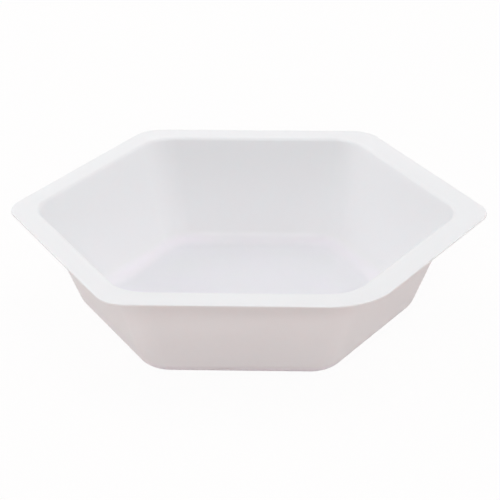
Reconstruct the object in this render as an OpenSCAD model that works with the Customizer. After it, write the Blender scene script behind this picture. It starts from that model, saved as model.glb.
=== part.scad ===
// Hexagonal weighing boat: an open dish with sloping walls, formed from one thin sheet.
// Millimetres, +Z up. The origin is at the middle of the flange's outline, on the plane
// that the base stands on. Two of the six corners lie on the X axis.

/* [Cup] */
// Height from the underside of the base to the top of the flange
cup_h = 23.2; // [15:0.1:35]
// Distance across the flats of the opening, measured at the top of the flange
opening_w = 79.2; // [68:0.2:95]
// Distance across the flats of the base, measured outside
base_w = 62.8; // [48:0.2:74]
// Thickness of the sheet
sheet_t = 0.35; // [0.2:0.05:0.8]

/* [Flange] */
// Width of the flat flange between the opening and its trimmed edge
flange_w = 5.4; // [4:0.2:12]
// How far the trimmed outline stands off the middle of the cup, along X
trim_offset_x = 0.5; // [-1:0.1:1]
// How far it stands off the middle of the cup, along Y
trim_offset_y = -0.5; // [-1:0.1:1]
// Corner radius of the trimmed outline
trim_corner_r = 7.2; // [3:0.2:14]
// Radius of the one wider corner of the outline, at the front right
wide_corner_r = 15; // [8:0.5:24]

/* [Cup rounding] */
// Corner radius of the opening
opening_corner_r = 9; // [5:0.2:16]
// Corner radius of the base, measured outside
base_corner_r = 7; // [4:0.2:14]
// Radius of the bend from the flange into the walls, measured on top
rim_bend_r = 1; // [0.9:0.1:3]
// Radius of the bend from the walls into the base, measured outside
base_bend_r = 4.5; // [1:0.1:6]

/* [Smoothness] */
// Flat facets round each corner of the cup
corner_facets = 8; // [5:1:12]
// Flat facets along each bend of the sheet
bend_facets = 6; // [3:1:10]

/* [Hidden] */

// A hexagon has six corners, 60 degrees apart, each reaching out by 1 / cos(30).
corners = 6;
corner_angle = 360 / corners;
corner_reach = 1 / cos(corner_angle / 2);
wide_corner = 5;

// The walls lean outwards so far that their inner face meets the opening, and their
// outer face meets the base, with the sheet's thickness between the two.
wall_run = (opening_w - base_w) / 2;
wall_lean = atan2(wall_run, cup_h) + asin(sheet_t / norm([wall_run, cup_h]));
wall_t_across = sheet_t / cos(wall_lean);

// A bend turns the sheet from level into the wall's slope. Its tangent points lie this
// share of its radius from where the two straight stretches would meet.
bend_turn = 90 - wall_lean;
bend_reach = tan(bend_turn / 2);

// Centres of the two bends, as [distance from the axis, height].
rim_bend_at = [opening_w / 2 + rim_bend_r * bend_reach, cup_h - rim_bend_r];
base_bend_at = [base_w / 2 - base_bend_r * bend_reach, base_bend_r];

trim_w = opening_w + 2 * flange_w;
flange_z = cup_h - sheet_t;
// How far the hollow's shape is carried on above the flange, so that it cuts clean
clear_cut = 1;
trim_fn = 96;
sharpest_corner_r = 0.2;

// Distance from the axis to the flat inner face of a wall at height z
function wall_at(z) = opening_w / 2 - (cup_h - z) * tan(wall_lean);

// Corner radius of the walls' inner face at height z, from the base's to the opening's
function wall_corner(z) =
    let (at_base = base_corner_r - wall_t_across)
    at_base + (opening_corner_r - at_base) * z / cup_h;

// A [distance, height] level carried round the cup: a hexagon with rounded corners.
// Its corner radius differs from the wall's by as much as its flats stand off the wall,
// and comes down to a near-sharp corner where the bend is as wide as the corner.
function ring(level) =
    let (
        apothem = level[0],
        z = level[1],
        r = max(sharpest_corner_r, wall_corner(z) + apothem - wall_at(z)),
        arc_centre = (apothem - r) * corner_reach
    )
    [
        for (corner = [0 : corners - 1], i = [0 : corner_facets])
            let (
                out = corner * corner_angle,
                a = out + corner_angle * (i / corner_facets - 0.5)
            )
            [arc_centre * cos(out) + r * cos(a), arc_centre * sin(out) + r * sin(a), z]
    ];

// Section of a bend about its centre, as levels: side is 1 for the bend into the base
// and -1 for the bend into the flange, and both run upwards.
function bend(centre, r, side) =
    [
        for (i = [0 : bend_facets])
            let (
                turned = bend_turn * i / bend_facets,
                tilt = side > 0 ? 90 - turned : wall_lean + turned
            )
            centre + side * r * [cos(tilt), -sin(tilt)]
    ];

// Joins rings of equally many points, from the lowest to the highest, into one solid.
module loft(levels) {
    n = corners * (corner_facets + 1);
    top = len(levels) - 1;
    polyhedron(
        points = [for (level = levels) each ring(level)],
        faces = [
            [for (i = [0 : n - 1]) i],
            [for (i = [n - 1 : -1 : 0]) top * n + i],
            for (k = [0 : top - 1], i = [0 : n - 1])
                let (next = (i + 1) % n)
                [k * n + i, (k + 1) * n + i, (k + 1) * n + next, k * n + next]
        ]
    );
}

// Outer form of the cup, filled, up to the middle of the flange's thickness
module cup_outside() {
    loft([
        each bend(base_bend_at, base_bend_r, 1),
        each bend(rim_bend_at, rim_bend_r - sheet_t, -1),
        [rim_bend_at[0], flange_z + sheet_t / 2]
    ]);
}

// The space inside the cup, from the floor to just above the flange
module cup_hollow() {
    loft([
        each bend(base_bend_at, base_bend_r - sheet_t, 1),
        each bend(rim_bend_at, rim_bend_r, -1),
        [rim_bend_at[0], cup_h + clear_cut]
    ]);
}

// Outline of the flange as it is trimmed from the sheet, with true arcs at its corners
module trim_outline() {
    apothem = trim_w / 2;
    radii = [for (corner = [0 : corners - 1]) corner == wide_corner ? wide_corner_r : trim_corner_r];
    arc_centres = [
        for (corner = [0 : corners - 1])
            (apothem - radii[corner]) * corner_reach
                * [cos(corner * corner_angle), sin(corner * corner_angle)]
    ];
    polygon([
        for (corner = [0 : corners - 1], side = [-0.5, 0.5])
            let (a = (corner + side) * corner_angle)
            arc_centres[corner] + radii[corner] * [cos(a), sin(a)]
    ]);
    for (corner = [0 : corners - 1])
        translate(arc_centres[corner])
            circle(r = radii[corner], $fn = trim_fn);
}

module flange() {
    translate([0, 0, flange_z])
        linear_extrude(sheet_t)
            trim_outline();
}

module weighing_boat() {
    color("white")
        difference() {
            union() {
                flange();
                translate([-trim_offset_x, -trim_offset_y, 0])
                    cup_outside();
            }
            translate([-trim_offset_x, -trim_offset_y, 0])
                cup_hollow();
        }
}

weighing_boat();
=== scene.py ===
"""A hexagonal weighing boat, formed from one thin white sheet, in a plain pale studio.

The classes hold their sizes in millimetres, and the meshes are in metres. The frame gives the
boat's height and the width of its trimmed outline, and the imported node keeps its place.
"""

import logging
import math
from dataclasses import dataclass, field, fields
from enum import Enum
from typing import Any

import bpy
import numpy as np
from mathutils import Matrix, Vector


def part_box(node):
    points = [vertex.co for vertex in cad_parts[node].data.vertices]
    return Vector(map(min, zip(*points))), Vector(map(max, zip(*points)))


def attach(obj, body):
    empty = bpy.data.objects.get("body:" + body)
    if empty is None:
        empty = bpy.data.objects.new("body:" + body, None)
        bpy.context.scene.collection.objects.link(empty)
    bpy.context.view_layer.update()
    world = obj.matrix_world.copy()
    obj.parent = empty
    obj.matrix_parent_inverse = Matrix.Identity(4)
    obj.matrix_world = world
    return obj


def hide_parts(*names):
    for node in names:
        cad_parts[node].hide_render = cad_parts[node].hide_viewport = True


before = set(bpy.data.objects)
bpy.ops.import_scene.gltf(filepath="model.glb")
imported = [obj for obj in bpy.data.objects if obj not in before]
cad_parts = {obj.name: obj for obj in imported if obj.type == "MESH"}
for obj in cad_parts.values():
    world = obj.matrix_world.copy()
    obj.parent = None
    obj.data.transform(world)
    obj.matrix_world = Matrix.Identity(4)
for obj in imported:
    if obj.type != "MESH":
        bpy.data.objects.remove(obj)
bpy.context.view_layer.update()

MM = 0.001
NODE = "weighing_boat"
BODY = "root"

# The white of the surround, and the slightly blue white of the lamps' own light. At a strength
# of 1 a surface that glows is seen as plain white.
PURE_WHITE = "FFFFFF"
FLASH_WHITE = "FDFDFF"
WHITE_STRENGTH = 1.0

# The sRGB curve: a straight foot, then a power with an offset.
HEX_FULL = 255
SRGB_FOOT_END = 0.04045
SRGB_FOOT_SLOPE = 12.92
SRGB_OFFSET = 0.055
SRGB_POWER = 2.4

# Numbers of the sockets that share one name: the Mix node's for colours and for numbers, the
# Mix Shader node's and the Math node's.
COLOUR_A = 6
COLOUR_B = 7
COLOUR_OUT = 2
NUMBER_A = 2
NUMBER_B = 3
NUMBER_OUT = 0
SHADER_A = 1
SHADER_B = 2
VALUE_A = 0
VALUE_B = 1

# A hexagon has six corners, each reaching out further than its flat sides.
CORNERS = 6
CORNER_TURN = 2 * math.pi / CORNERS
CORNER_REACH = 1 / math.cos(CORNER_TURN / 2)

log = logging.getLogger(NODE)


def linear(hex_colour: str) -> tuple[float, float, float, float]:
    """Turn an sRGB hex colour into linear red, green, blue and alpha.

    Args:
        hex_colour: Six hex digits, such as "F0F1F1".

    Returns:
        The linear colour, with an alpha of 1.
    """
    srgb = [byte / HEX_FULL for byte in bytes.fromhex(hex_colour)]
    red, green, blue = (
        c / SRGB_FOOT_SLOPE
        if c <= SRGB_FOOT_END
        else ((c + SRGB_OFFSET) / (1 + SRGB_OFFSET)) ** SRGB_POWER
        for c in srgb
    )
    return red, green, blue, 1.0


def add_node(
    tree: bpy.types.NodeTree,
    kind: str,
    settings: dict[str | int, Any] | None = None,
    links: dict[str | int, bpy.types.NodeSocket] | None = None,
) -> bpy.types.Node:
    """Add a node with its settings and links.

    Args:
        tree: The node tree that gets the node.
        kind: The node's type name.
        settings: Values of the node's own properties by name, and of its input sockets by
            name or number.
        links: Output sockets by the name or number of the input socket that each one feeds.

    Returns:
        The new node.
    """
    node = tree.nodes.new(kind)
    for name, value in (settings or {}).items():
        if isinstance(name, str) and hasattr(node, name):
            setattr(node, name, value)
        else:
            node.inputs[name].default_value = value
    for name, source in (links or {}).items():
        tree.links.new(source, node.inputs[name])
    return node


def clear_tree(owner: bpy.types.Material | bpy.types.World) -> bpy.types.NodeTree:
    """Turn on the nodes of a material or world, and clear them away.

    Args:
        owner: The material or world.

    Returns:
        Its node tree, without any node.
    """
    owner.use_nodes = True
    owner.node_tree.nodes.clear()
    return owner.node_tree


def seen_directly(tree: bpy.types.NodeTree) -> bpy.types.NodeSocket:
    """Tell what the camera, a mirror or glass sees from what only lights the scene.

    Args:
        tree: The node tree to work in.

    Returns:
        A socket that is 1 for camera, glossy and transmission rays, and 0 for the others.
    """
    path = add_node(tree, "ShaderNodeLightPath").outputs
    either = add_node(
        tree,
        "ShaderNodeMath",
        {"operation": "MAXIMUM"},
        {VALUE_A: path["Is Camera Ray"], VALUE_B: path["Is Glossy Ray"]},
    ).outputs["Value"]
    return add_node(
        tree,
        "ShaderNodeMath",
        {"operation": "MAXIMUM"},
        {VALUE_A: either, VALUE_B: path["Is Transmission Ray"]},
    ).outputs["Value"]


class Face(Enum):
    """The two faces of the sheet."""

    UPPER = "upper"
    UNDER = "under"


@dataclass
class Rows:
    """Levels of the sheet's surface, each one a rounded hexagon parallel to the floor.

    Attributes:
        apothem: Distance from a level's centre to its flat sides, one for each level.
        radii: Radius of each of the six corners, one row for each level.
        centre_x: Where the level's centre stands along X.
        centre_y: Where it stands along Y.
        z: Height of the level.
        stretch: How far the sheet was drawn there, from 0 on the flange to 1 at the base.
        cut: 1 where the level lies on the trimmed edge, and 0 elsewhere.
    """

    apothem: np.ndarray
    radii: np.ndarray
    centre_x: np.ndarray
    centre_y: np.ndarray
    z: np.ndarray
    stretch: np.ndarray
    cut: np.ndarray

    @staticmethod
    def of(
        apothem: np.ndarray,
        radii: np.ndarray,
        centre: tuple[np.ndarray | float, np.ndarray | float],
        z: np.ndarray | float,
        stretch: np.ndarray | float = 0.0,
        cut: float = 0.0,
    ) -> "Rows":
        """Make levels from arrays and from numbers that all the levels share.

        Args:
            apothem: Distance to the flat sides, one for each level.
            radii: Corner radii, either one for each level or six for each level.
            centre: Place of the centre along X and along Y.
            z: Height.
            stretch: How far the sheet was drawn.
            cut: Whether the levels lie on the trimmed edge.

        Returns:
            The levels, with every value as an array.
        """
        n = len(apothem)
        shared = [np.broadcast_to(v, n).astype(float) for v in (*centre, z, stretch, cut)]
        six = np.broadcast_to(radii if np.ndim(radii) == 2 else radii[:, None], (n, CORNERS))
        return Rows(np.asarray(apothem, float), six.astype(float), *shared)

    @staticmethod
    def joined(parts: list["Rows"]) -> "Rows":
        """Join stretches of levels, in order, into one run of levels."""
        return Rows(
            *(np.concatenate([getattr(part, each.name) for part in parts]) for each in fields(Rows))
        )

    def turned_over(self) -> "Rows":
        """Give the same levels in the opposite order."""
        return Rows(*(getattr(self, each.name)[::-1] for each in fields(Rows)))

    def on_arcs(self, corner: np.ndarray, facing: np.ndarray) -> np.ndarray:
        """Work out every level's points on the arcs of the named corners.

        Args:
            corner: Number of each point's corner, counted from +X towards +Y.
            facing: Direction of each point from its arc's centre.

        Returns:
            An array of levels by points by two, about the levels' own centres.
        """
        outward = np.stack([np.cos(facing), np.sin(facing)], axis=-1)
        radius = self.radii[:, corner]
        reach = (self.apothem[:, None] - radius) * CORNER_REACH
        to_corner = corner * CORNER_TURN
        centre = np.stack([np.cos(to_corner), np.sin(to_corner)], axis=-1)
        return reach[..., None] * centre + radius[..., None] * outward


@dataclass(frozen=True)
class FormedPolystyrene:
    """White high-impact polystyrene sheet, vacuum formed.

    The rubber in it dulls the skin to a satin, and the heated sheet keeps a faint orange peel.
    It is thin and full of white pigment, so a little light comes through it, and most where
    forming has drawn it thinnest.

    Attributes:
        name: What the material is called.
        colour: Colour of the sheet at its full thickness.
        painted_shade_colour: Painted shade: the lavender tint of the cup's shaded floor and bend.
        painted_shade_span: Stretch at which this painted shade begins to show, and at which it is
            full.
        ior: Refractive index of polystyrene.
        roughness: Roughness of the satin skin.
        roughness_swing: How much the roughness varies with the orange peel.
        gloss: Share of the smoother gloss that the rolled sheet keeps over its satin.
        gloss_roughness: Roughness of that gloss.
        gloss_ior: Refractive index of the skin that carries it.
        cut_roughness: Roughness of the trimmed edge.
        peel_mm: Width of one bump of the orange peel.
        peel_height_mm: Height of those bumps.
        peel_strength: Share of that height that shows.
        peel_detail: How many times the bumps are halved into finer ones.
        peel_fineness: How much each finer size counts.
        mottle_mm: Width of the faint cloudy patches in which the painted shade shows.
        mottle_detail: How many times the patches are halved into finer ones.
        mottle_fineness: How much each finer size counts.
        scatter: Share of the light that goes into the sheet and scatters there.
        scatter_mm: How far red, green and blue light spread inside it. Red goes furthest.
        drawn_scatter: How many times as far it spreads where the sheet is drawn thinnest.
    """

    name: str = "white high-impact polystyrene, vacuum formed"
    colour: str = "F0F1F1"
    painted_shade_colour: str = "F3EBF9"
    painted_shade_span: tuple[float, float] = (0.6, 0.8)
    ior: float = 1.59
    roughness: float = 0.75
    roughness_swing: float = 0.06
    gloss: float = 0.15
    gloss_roughness: float = 0.13
    gloss_ior: float = 1.5
    cut_roughness: float = 0.85
    peel_mm: float = 0.9
    peel_height_mm: float = 0.004
    peel_strength: float = 1.0
    peel_detail: float = 2.0
    peel_fineness: float = 0.45
    mottle_mm: float = 14.0
    mottle_detail: float = 3.0
    mottle_fineness: float = 0.5
    scatter: float = 1.0
    scatter_mm: tuple[float, float, float] = (0.3, 0.28, 0.28)
    drawn_scatter: float = 3.0

    def material(self) -> bpy.types.Material:
        """Make the sheet's material, with its patterns in Object coordinates.

        Returns:
            The material.
        """
        made = bpy.data.materials.new(self.name)
        tree = clear_tree(made)
        place = add_node(tree, "ShaderNodeTexCoord").outputs["Object"]
        drawn = add_node(
            tree, "ShaderNodeAttribute", {"attribute_name": "stretch"}
        ).outputs["Fac"]
        cut = add_node(tree, "ShaderNodeAttribute", {"attribute_name": "cut"}).outputs["Fac"]
        peel = add_node(
            tree,
            "ShaderNodeTexNoise",
            {
                "Scale": 1 / (self.peel_mm * MM),
                "Detail": self.peel_detail,
                "Roughness": self.peel_fineness,
            },
            {"Vector": place},
        ).outputs["Fac"]
        mottle = add_node(
            tree,
            "ShaderNodeTexNoise",
            {
                "Scale": 1 / (self.mottle_mm * MM),
                "Detail": self.mottle_detail,
                "Roughness": self.mottle_fineness,
            },
            {"Vector": place},
        ).outputs["Fac"]
        # Painted shade: the lavender tint of the cup's shaded floor and base bend, laid by stretch in
        # cloudy patches.
        painted_tint = add_node(
            tree,
            "ShaderNodeMapRange",
            {"From Min": self.painted_shade_span[0], "From Max": self.painted_shade_span[1]},
            {"Value": drawn},
        ).outputs["Result"]
        painted_tint_patches = add_node(
            tree,
            "ShaderNodeMath",
            {"operation": "MULTIPLY"},
            {VALUE_A: painted_tint, VALUE_B: mottle},
        ).outputs["Value"]
        colour = add_node(
            tree,
            "ShaderNodeMix",
            {
                "data_type": "RGBA",
                COLOUR_A: linear(self.colour),
                COLOUR_B: linear(self.painted_shade_colour),
            },
            {"Factor": painted_tint_patches},
        ).outputs[COLOUR_OUT]
        satin = add_node(
            tree,
            "ShaderNodeMapRange",
            {
                "To Min": self.roughness - self.roughness_swing / 2,
                "To Max": self.roughness + self.roughness_swing / 2,
            },
            {"Value": peel},
        ).outputs["Result"]
        roughness = add_node(
            tree,
            "ShaderNodeMix",
            {"data_type": "FLOAT", NUMBER_B: self.cut_roughness},
            {"Factor": cut, NUMBER_A: satin},
        ).outputs[NUMBER_OUT]
        bump = add_node(
            tree,
            "ShaderNodeBump",
            {"Distance": self.peel_height_mm * MM, "Strength": self.peel_strength},
            {"Height": peel},
        ).outputs["Normal"]
        spread = add_node(
            tree,
            "ShaderNodeMapRange",
            {"To Min": MM, "To Max": MM * self.drawn_scatter},
            {"Value": drawn},
        ).outputs["Result"]
        skin = add_node(
            tree,
            "ShaderNodeBsdfPrincipled",
            {
                "IOR": self.ior,
                "Subsurface Weight": self.scatter,
                "Subsurface Radius": self.scatter_mm,
                "Coat Weight": self.gloss,
                "Coat Roughness": self.gloss_roughness,
                "Coat IOR": self.gloss_ior,
            },
            {
                "Base Color": colour,
                "Roughness": roughness,
                "Subsurface Scale": spread,
                "Normal": bump,
            },
        ).outputs["BSDF"]
        add_node(tree, "ShaderNodeOutputMaterial", links={"Surface": skin})
        return made


@dataclass(frozen=True)
class MattePaper:
    """White matte paper, as a studio's background roll.

    Its loose fibres spread the light evenly, so it shows no gloss. A share of what the camera
    sees is plain white, so that the paper meets the white background without a seam, and the
    rest takes the light and the boat's shadow.

    Attributes:
        name: What the material is called.
        colour: Colour of the paper.
        roughness: Roughness of its face.
        glow: Share of plain white in what the camera, a mirror or glass sees.
    """

    name: str = "white matte paper"
    colour: str = "FAEBE7"
    roughness: float = 0.9
    glow: float = 0.95

    def material(self) -> bpy.types.Material:
        """Make the paper's material.

        Returns:
            The material.
        """
        made = bpy.data.materials.new(self.name)
        tree = clear_tree(made)
        paper = add_node(
            tree,
            "ShaderNodeBsdfPrincipled",
            {"Base Color": linear(self.colour), "Roughness": self.roughness},
        ).outputs["BSDF"]
        white = add_node(
            tree, "ShaderNodeEmission", {"Strength": WHITE_STRENGTH}
        ).outputs["Emission"]
        share = add_node(
            tree,
            "ShaderNodeMath",
            {"operation": "MULTIPLY", VALUE_B: self.glow},
            {VALUE_A: seen_directly(tree)},
        ).outputs["Value"]
        both = add_node(
            tree, "ShaderNodeMixShader", links={"Fac": share, SHADER_A: paper, SHADER_B: white}
        ).outputs["Shader"]
        add_node(tree, "ShaderNodeOutputMaterial", links={"Surface": both})
        return made


@dataclass
class WeighingBoat:
    """The boat: one closed skin over both faces of the sheet and its trimmed edge.

    Attributes:
        height: Height from the underside of the base to the top of the flange.
        trim_w: Distance across the flats of the trimmed outline.
        opening_w: Distance across the flats of the opening, at the top of the flange.
        base_w: Distance across the flats of the base, outside.
        sheet_t: Thickness of the sheet.
        cup_at: Where the cup's middle stands from the middle of the trimmed outline, along X
            and Y.
        trim_corner_r: Corner radius of the trimmed outline.
        wide_corner_r: Radius of the one wider corner of that outline.
        wide_corner: Number of that corner, counted from +X towards +Y.
        opening_corner_r: Corner radius of the opening.
        base_corner_r: Corner radius of the base.
        rim_bend_r: Radius of the bend from the flange into the walls, on top.
        base_bend_r: Radius of the bend from the walls into the base, outside.
        edge_round: Radius that the trimming knife leaves at the edge's upper and lower side.
        floor_stretch: How far the middle of the floor was drawn. Its rim is drawn to 1.
        stretch_power: How sharply the stretch falls away from the bend at the base.
        corner_steps: Faces round each corner.
        flat_steps: Faces along each flat side.
        floor_steps: Faces from the middle of the floor to its bend.
        wall_steps: Faces up the straight part of a wall.
        bend_steps: Faces along each bend.
        flange_steps: Faces across the flange.
        edge_steps: Faces round each side of the trimmed edge.
        finish: The sheet's finish.
        lean: How far the walls lean outwards, in radians.
        turn: How far a bend turns the sheet, from level into the wall's slope, in radians.
        rim_bend: Centre of the bend at the flange: its distance from the cup's axis, and its
            height.
        base_bend: Centre of the bend at the base, in the same way.
    """

    height: float
    trim_w: float
    opening_w: float = 79.2
    base_w: float = 62.8
    sheet_t: float = 0.35
    cup_at: tuple[float, float] = (-0.5, 0.5)
    trim_corner_r: float = 7.2
    wide_corner_r: float = 15.0
    wide_corner: int = 5
    opening_corner_r: float = 9.0
    base_corner_r: float = 7.0
    rim_bend_r: float = 1.0
    base_bend_r: float = 4.5
    edge_round: tuple[float, float] = (0.14, 0.05)
    floor_stretch: float = 0.8
    stretch_power: int = 4
    corner_steps: int = 18
    flat_steps: int = 12
    floor_steps: int = 14
    wall_steps: int = 16
    bend_steps: int = 14
    flange_steps: int = 6
    edge_steps: int = 3
    finish: FormedPolystyrene = field(default_factory=FormedPolystyrene)
    lean: float = field(init=False)
    turn: float = field(init=False)
    rim_bend: tuple[float, float] = field(init=False)
    base_bend: tuple[float, float] = field(init=False)

    def __post_init__(self) -> None:
        """Work out the wall's slope, and the two bends that turn the sheet into it."""
        run = (self.opening_w - self.base_w) / 2
        slant = math.hypot(run, self.height)
        self.lean = math.atan2(run, self.height) + math.asin(self.sheet_t / slant)
        self.turn = math.pi / 2 - self.lean
        reach = math.tan(self.turn / 2)
        self.rim_bend = (
            self.opening_w / 2 + self.rim_bend_r * reach,
            self.height - self.rim_bend_r,
        )
        self.base_bend = (self.base_w / 2 - self.base_bend_r * reach, self.base_bend_r)

    def wall_at(self, z: np.ndarray) -> np.ndarray:
        """Give the distance to the walls' upper face at heights z."""
        return self.opening_w / 2 - (self.height - z) * math.tan(self.lean)

    def wall_corner(self, z: np.ndarray) -> np.ndarray:
        """Give the corner radius of the walls' upper face at heights z."""
        at_base = self.base_corner_r - self.sheet_t / math.cos(self.lean)
        return at_base + (self.opening_corner_r - at_base) * z / self.height

    def cup_rows(self, apothem: np.ndarray, z: np.ndarray) -> Rows:
        """Make levels of the cup, with corners parallel to the walls' upper face.

        A level that stands off the wall by some distance has a corner radius that differs
        from the wall's by the same distance. The sheet was drawn most at the base: the
        stretch is the share of the height that is left above a level, to a power.

        Args:
            apothem: Distance to the flat sides.
            z: Height.

        Returns:
            The levels.
        """
        radii = self.wall_corner(z) + apothem - self.wall_at(z)
        above = 1.0 - np.clip(z / self.height, 0.0, 1.0)
        return Rows.of(apothem, radii, self.cup_at, z, above**self.stretch_power)

    def face_rows(self, face: Face) -> Rows:
        """Make the levels of one face of the sheet, from the middle of the floor outwards.

        The floor grows from its middle in even steps, and its stretch grows with the same
        power of the way, from the middle's to 1. A bend is an arc about its centre, from
        level to the wall's slope, and the wall is straight between the two bends. Across the
        flange, each level is a mean of the level at the bend and of the trimmed outline.

        Args:
            face: The face to follow.

        Returns:
            The levels, without the middle point and without the trimmed edge.
        """
        upper = face is Face.UPPER
        base_r = self.base_bend_r - (self.sheet_t if upper else 0.0)
        rim_r = self.rim_bend_r - (0.0 if upper else self.sheet_t)
        turned = np.linspace(0.0, self.turn, self.bend_steps + 1)

        low_tilt = math.pi / 2 - turned
        low_x = self.base_bend[0] + base_r * np.cos(low_tilt)
        low_z = self.base_bend[1] - base_r * np.sin(low_tilt)
        high_tilt = self.lean + turned
        high_x = self.rim_bend[0] - rim_r * np.cos(high_tilt)
        high_z = self.rim_bend[1] + rim_r * np.sin(high_tilt)
        along = np.linspace(0.0, 1.0, self.wall_steps + 1)[1:-1]
        wall_x = low_x[-1] + (high_x[0] - low_x[-1]) * along
        wall_z = low_z[-1] + (high_z[0] - low_z[-1]) * along
        x = np.concatenate([low_x, wall_x, high_x])
        z = np.concatenate([low_z, wall_z, high_z])
        cup = self.cup_rows(x, z)

        share = np.linspace(0.0, 1.0, self.floor_steps + 1)[1:-1]
        floor = Rows.of(
            cup.apothem[0] * share,
            cup.radii[0, 0] * share,
            self.cup_at,
            cup.z[0],
            self.floor_stretch + (1.0 - self.floor_stretch) * share**self.stretch_power,
        )
        return Rows.joined([floor, cup, self.flange_rows(cup, face)])

    def flange_rows(self, cup: Rows, face: Face) -> Rows:
        """Make the levels of the flange between the bend and the trimmed edge's rounding.

        Args:
            cup: The cup's levels, whose last one ends the bend.
            face: The face to follow.

        Returns:
            The levels, which run flat from the bend outwards.
        """
        edge = self.edge_round[0 if face is Face.UPPER else 1]
        share = np.linspace(0.0, 1.0, self.flange_steps + 1)[1:]
        support = 1.0 - edge / (self.trim_w / 2 - cup.apothem[-1])
        share = np.sort(np.append(share, support))
        outer = self.trim_rows(np.array([edge]), np.array([cup.z[-1]]))
        return Rows.of(
            cup.apothem[-1] + (outer.apothem[0] - cup.apothem[-1]) * share,
            cup.radii[-1] + (outer.radii[0] - cup.radii[-1]) * share[:, None],
            (cup.centre_x[-1] * (1.0 - share), cup.centre_y[-1] * (1.0 - share)),
            cup.z[-1],
        )

    def trim_rows(self, inset: np.ndarray, z: np.ndarray, cut: float = 0.0) -> Rows:
        """Make levels parallel to the trimmed outline.

        Args:
            inset: Distance inwards from the outline.
            z: Height.
            cut: Whether the levels lie on the trimmed edge.

        Returns:
            The levels, whose corner radii shrink by their inset.
        """
        radii = np.full(CORNERS, self.trim_corner_r)
        radii[self.wide_corner] = self.wide_corner_r
        return Rows.of(
            self.trim_w / 2 - inset, radii[None, :] - inset[:, None], (0.0, 0.0), z, 0.0, cut
        )

    def edge_rows(self) -> Rows:
        """Make the levels of the trimmed edge, from its upper side to its lower side.

        Each side is a quarter of a circle, and the edge is straight between the two.

        Returns:
            The levels.
        """
        upper, lower = self.edge_round
        quarter = np.linspace(0.0, math.pi / 2, self.edge_steps + 1)
        outwards = 1.0 - np.sin(quarter)
        down = 1.0 - np.cos(quarter)
        inset = np.concatenate([upper * outwards, lower * outwards[::-1]])
        flange_z = self.height - self.sheet_t
        z = np.concatenate([self.height - upper * down, flange_z + lower * down[::-1]])
        return self.trim_rows(inset[1:-1], z[1:-1], cut=1.0)

    def around(self) -> tuple[np.ndarray, np.ndarray, np.ndarray, np.ndarray]:
        """Lay out one level's points, from corner to corner.

        Returns:
            For each point, the corner before it and the corner after it, how far it is from
            one to the other, from 0 to 1, and the direction in which its side faces. In a
            corner's arc the direction turns, and on a flat side it stays.
        """
        turn = np.linspace(-0.5, 0.5, self.corner_steps + 1) * CORNER_TURN
        step = np.linspace(0.0, 1.0, self.flat_steps + 1)[1:-1]
        corner = np.arange(CORNERS)[:, None]
        n_arc = len(turn)
        n_flat = len(step)
        before = np.repeat(corner, n_arc + n_flat, axis=1)
        after = np.concatenate(
            [np.repeat(corner, n_arc, axis=1), np.repeat((corner + 1) % CORNERS, n_flat, axis=1)],
            axis=1,
        )
        way = np.tile(np.concatenate([np.zeros(n_arc), step]), (CORNERS, 1))
        facing = corner * CORNER_TURN + np.concatenate(
            [turn, np.full(n_flat, CORNER_TURN / 2)]
        )
        return before.ravel(), after.ravel(), way.ravel(), facing.ravel()

    def points(self, rows: Rows) -> np.ndarray:
        """Work out every point of the given levels.

        A corner's arc stands about a centre on the line from the level's centre to the
        hexagon's corner, at the apothem less the radius, times the reach of a hexagon's
        corner. A point is that centre plus the radius in its facing direction, and on a
        flat side it is the mean of such points of the two corners beside it.

        Args:
            rows: The levels.

        Returns:
            An array of levels by points by three, in metres.
        """
        before, after, way, facing = self.around()
        flat = (
            rows.on_arcs(before, facing) * (1.0 - way)[:, None]
            + rows.on_arcs(after, facing) * way[:, None]
        )
        flat[..., 0] += rows.centre_x[:, None]
        flat[..., 1] += rows.centre_y[:, None]
        height = np.broadcast_to(rows.z[:, None, None], (*flat.shape[:2], 1))
        return np.concatenate([flat, height], axis=-1) * MM

    def skin(self) -> bpy.types.Mesh:
        """Make the closed skin: the upper face, over the trimmed edge, and the under face.

        Rows of four-sided faces join each level to the next, and a fan of triangles closes
        each end at the middle of the floor.

        Returns:
            The mesh, with the attributes stretch and cut on its points.
        """
        under = self.face_rows(Face.UNDER).turned_over()
        rows = Rows.joined([self.face_rows(Face.UPPER), self.edge_rows(), under])
        grid = self.points(rows)
        n_rows, n_round = grid.shape[:2]
        ends = np.array([[*self.cup_at, rows.z[0]], [*self.cup_at, rows.z[-1]]]) * MM
        points = np.concatenate([grid.reshape(-1, 3), ends])

        here = np.arange(n_rows * n_round).reshape(n_rows, n_round)
        following = np.roll(here, -1, axis=1)
        quads = np.stack(
            [here[:-1], here[1:], following[1:], following[:-1]], axis=-1
        ).reshape(-1, 4)
        last = len(points) - 1
        first = last - 1
        fans = np.concatenate(
            [
                np.stack([np.full(n_round, first), here[0], following[0]], axis=-1),
                np.stack([np.full(n_round, last), following[-1], here[-1]], axis=-1),
            ]
        )
        mesh = mesh_from(NODE, points, quads, fans)
        for name, value in (("stretch", rows.stretch), ("cut", rows.cut)):
            values = np.concatenate([np.repeat(value, n_round), value[[0, -1]]])
            layer = mesh.attributes.new(name, "FLOAT", "POINT")
            layer.data.foreach_set("value", values.astype(np.float32))
        return mesh

    def build(self) -> bpy.types.Object:
        """Make the boat's piece, dress it and let it stand for its node.

        Returns:
            The piece.
        """
        piece = bpy.data.objects.new("boat_skin", self.skin())
        bpy.context.scene.collection.objects.link(piece)
        piece.data.materials.append(self.finish.material())
        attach(piece, BODY)
        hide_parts(NODE)
        return piece


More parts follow.
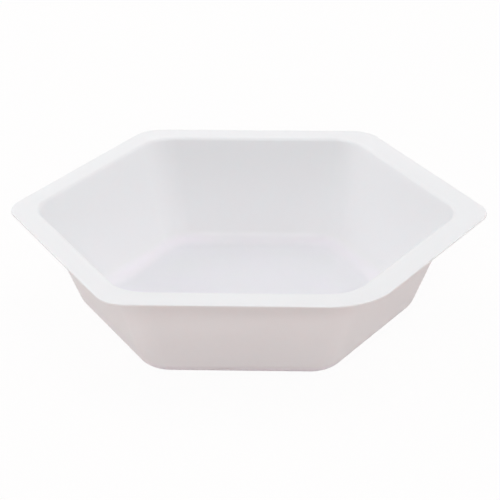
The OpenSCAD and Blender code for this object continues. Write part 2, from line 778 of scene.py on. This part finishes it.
def mesh_from(
    name: str, points: np.ndarray, quads: np.ndarray, triangles: np.ndarray
) -> bpy.types.Mesh:
    """Put arrays of points and faces into a smooth mesh.

    Args:
        name: The mesh's name.
        points: Points, in metres.
        quads: Four point numbers for each four-sided face.
        triangles: Three point numbers for each triangle.

    Returns:
        The mesh.
    """
    mesh = bpy.data.meshes.new(name)
    corners = np.concatenate([quads.ravel(), triangles.ravel()])
    sizes = np.concatenate([np.full(len(each), each.shape[1]) for each in (quads, triangles)])
    starts = np.concatenate([[0], np.cumsum(sizes)[:-1]])
    mesh.vertices.add(len(points))
    mesh.vertices.foreach_set("co", points.astype(np.float32).ravel())
    mesh.loops.add(len(corners))
    mesh.loops.foreach_set("vertex_index", corners.astype(np.int32))
    mesh.polygons.add(len(sizes))
    mesh.polygons.foreach_set("loop_start", starts.astype(np.int32))
    mesh.polygons.foreach_set("use_smooth", np.ones(len(sizes), bool))
    mesh.update(calc_edges=True)
    mesh.validate()
    return mesh


@dataclass(frozen=True)
class Softbox:
    """A square soft lamp, aimed at the boat.

    Attributes:
        name: What the lamp is called.
        azimuth: Direction that it stands in, in degrees from +X towards +Y.
        elevation: Its height above the floor, in degrees.
        distance: Distance from the point that it is aimed at, in metres.
        size: Length of its side, in metres.
        power: Power, in watts.
        colour: Colour of its light.
    """

    name: str
    azimuth: float
    elevation: float
    distance: float
    size: float
    power: float
    colour: str = FLASH_WHITE

    def build(self, aim: Vector) -> bpy.types.Object:
        """Make the lamp.

        Args:
            aim: The point that it faces.

        Returns:
            The lamp's object.
        """
        lamp = bpy.data.lights.new(self.name, "AREA")
        lamp.shape = "SQUARE"
        lamp.size = self.size
        lamp.energy = self.power
        lamp.color = linear(self.colour)[:3]
        round_z = math.radians(self.azimuth)
        up = math.radians(self.elevation)
        way = Vector(
            (math.cos(up) * math.cos(round_z), math.cos(up) * math.sin(round_z), math.sin(up))
        )
        stand = bpy.data.objects.new(self.name, lamp)
        stand.location = aim + way * self.distance
        stand.rotation_euler = way.to_track_quat("Z", "Y").to_euler()
        bpy.context.scene.collection.objects.link(stand)
        return stand


@dataclass(frozen=True)
class CameraStand:
    """The camera, in front of the boat and above it, held by hand with a slight roll.

    Attributes:
        pan: How far it is turned from +Y, in degrees towards +X.
        tilt: How far it looks down, in degrees.
        roll: How far it is turned about its own axis, in degrees.
        distance: Distance to the point that it looks at, in millimetres.
        aim: That point, in millimetres.
        lens: Focal length on a sensor of the given width, both in millimetres.
        sensor: Width of the sensor.
        nearest_m: Distance at which the view begins, in metres.
        furthest_m: Distance at which it ends.
    """

    pan: float = -2.957
    tilt: float = 25.545
    roll: float = -0.727
    distance: float = 445.95
    aim: tuple[float, float, float] = (0.54, -3.66, 15.49)
    lens: float = 150.21
    sensor: float = 36.0
    nearest_m: float = 0.01
    furthest_m: float = 20.0

    def build(self) -> bpy.types.Object:
        """Make the camera and give it to the scene.

        Returns:
            The camera's object.
        """
        camera = bpy.data.cameras.new("camera")
        camera.lens = self.lens
        camera.sensor_width = self.sensor
        camera.clip_start = self.nearest_m
        camera.clip_end = self.furthest_m
        pan, tilt, roll = (math.radians(a) for a in (self.pan, self.tilt, self.roll))
        forward = Vector(
            (math.sin(pan) * math.cos(tilt), math.cos(pan) * math.cos(tilt), -math.sin(tilt))
        )
        right = Vector((math.cos(pan), -math.sin(pan), 0.0))
        up = right.cross(forward)
        turned_right = right * math.cos(roll) + up * math.sin(roll)
        turned_up = up * math.cos(roll) - right * math.sin(roll)
        stand = bpy.data.objects.new("camera", camera)
        axes = Matrix((turned_right, turned_up, -forward)).transposed()
        place = Vector(self.aim) * MM - forward * self.distance * MM
        stand.matrix_world = Matrix.Translation(place) @ axes.to_4x4()
        bpy.context.scene.collection.objects.link(stand)
        bpy.context.scene.camera = stand
        return stand


@dataclass
class Studio:
    """A white paper floor, soft lamps, an even white surround and the camera.

    Attributes:
        floor_m: Length of the floor's side, in metres.
        fill: Strength of the surround's own light.
        fill_colour: Colour of that light.
        paper: Finish of the floor.
        camera: The camera.
        lamps: The soft lamps.
    """

    floor_m: float = 8.0
    fill: float = 0.03
    fill_colour: str = FLASH_WHITE
    paper: MattePaper = field(default_factory=MattePaper)
    camera: CameraStand = field(default_factory=CameraStand)
    lamps: tuple[Softbox, ...] = (
        Softbox(
            "right_low_softbox", azimuth=0.0, elevation=20.0, distance=1.8, size=1.4, power=7.22
        ),
        Softbox(
            "right_high_softbox", azimuth=0.0, elevation=65.0, distance=1.8, size=1.4, power=3.98
        ),
        Softbox(
            "left_low_softbox", azimuth=180.0, elevation=20.0, distance=1.8, size=1.4, power=9.33
        ),
        Softbox(
            "front_low_softbox", azimuth=270.0, elevation=20.0, distance=1.8, size=1.4, power=3.21
        ),
        Softbox(
            "back_right_softbox", azimuth=45.0, elevation=45.0, distance=1.8, size=1.4, power=5.48
        ),
        Softbox(
            "front_small_softbox", azimuth=270.0, elevation=38.0, distance=4.0, size=0.9, power=30.32
        ),
        Softbox(
            "back_left_near_softbox", azimuth=135.0, elevation=45.0, distance=0.7, size=0.5, power=1.20
        ),
        Softbox(
            "top_softbox", azimuth=90.0, elevation=88.0, distance=1.8, size=1.4, power=8.77
        ),
    )

    def floor(self) -> bpy.types.Object:
        """Make the floor, level with the underside of the boat's base.

        Returns:
            The floor's object.
        """
        half = self.floor_m / 2
        x, y = np.meshgrid([-half, half], [-half, half])
        points = np.stack([x, y, np.zeros_like(x)], axis=-1).reshape(-1, 3)
        face = np.array([[0, 1, 3, 2]])
        no_triangles = np.zeros((0, 3), int)
        mesh = mesh_from("paper_floor", points, face, no_triangles)
        mesh.materials.append(self.paper.material())
        sheet = bpy.data.objects.new(mesh.name, mesh)
        bpy.context.scene.collection.objects.link(sheet)
        return sheet

    def surround(self) -> bpy.types.World:
        """Make the surround: plain white to look at, and an even fill of light.

        Returns:
            The world.
        """
        world = bpy.data.worlds.new("white_surround")
        tree = clear_tree(world)
        fill = add_node(
            tree,
            "ShaderNodeBackground",
            {"Color": linear(self.fill_colour), "Strength": self.fill},
        ).outputs["Background"]
        white = add_node(
            tree,
            "ShaderNodeBackground",
            {"Color": linear(PURE_WHITE), "Strength": WHITE_STRENGTH},
        ).outputs["Background"]
        both = add_node(
            tree,
            "ShaderNodeMixShader",
            links={"Fac": seen_directly(tree), SHADER_A: fill, SHADER_B: white},
        ).outputs["Shader"]
        add_node(tree, "ShaderNodeOutputWorld", links={"Surface": both})
        bpy.context.scene.world = world
        return world

    def build(self) -> None:
        """Set the stage, hang the lamps and place the camera."""
        self.floor()
        self.surround()
        aim = Vector(self.camera.aim) * MM
        for lamp in self.lamps:
            lamp.build(aim)
            log.info("lamp %s: %.2f W", lamp.name, lamp.power)
        self.camera.build()
        bpy.context.scene.view_settings.view_transform = "Standard"


def main() -> None:
    """Build the boat and the studio."""
    logging.basicConfig(level=logging.INFO, format="%(name)s: %(message)s")
    lowest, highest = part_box(NODE)
    boat = WeighingBoat(
        height=(highest.z - lowest.z) / MM, trim_w=(highest.y - lowest.y) / MM
    )
    piece = boat.build()
    mesh = piece.data
    log.info("%s: %d points, %d faces", piece.name, len(mesh.vertices), len(mesh.polygons))
    Studio().build()


if __name__ == "__main__":
    main()
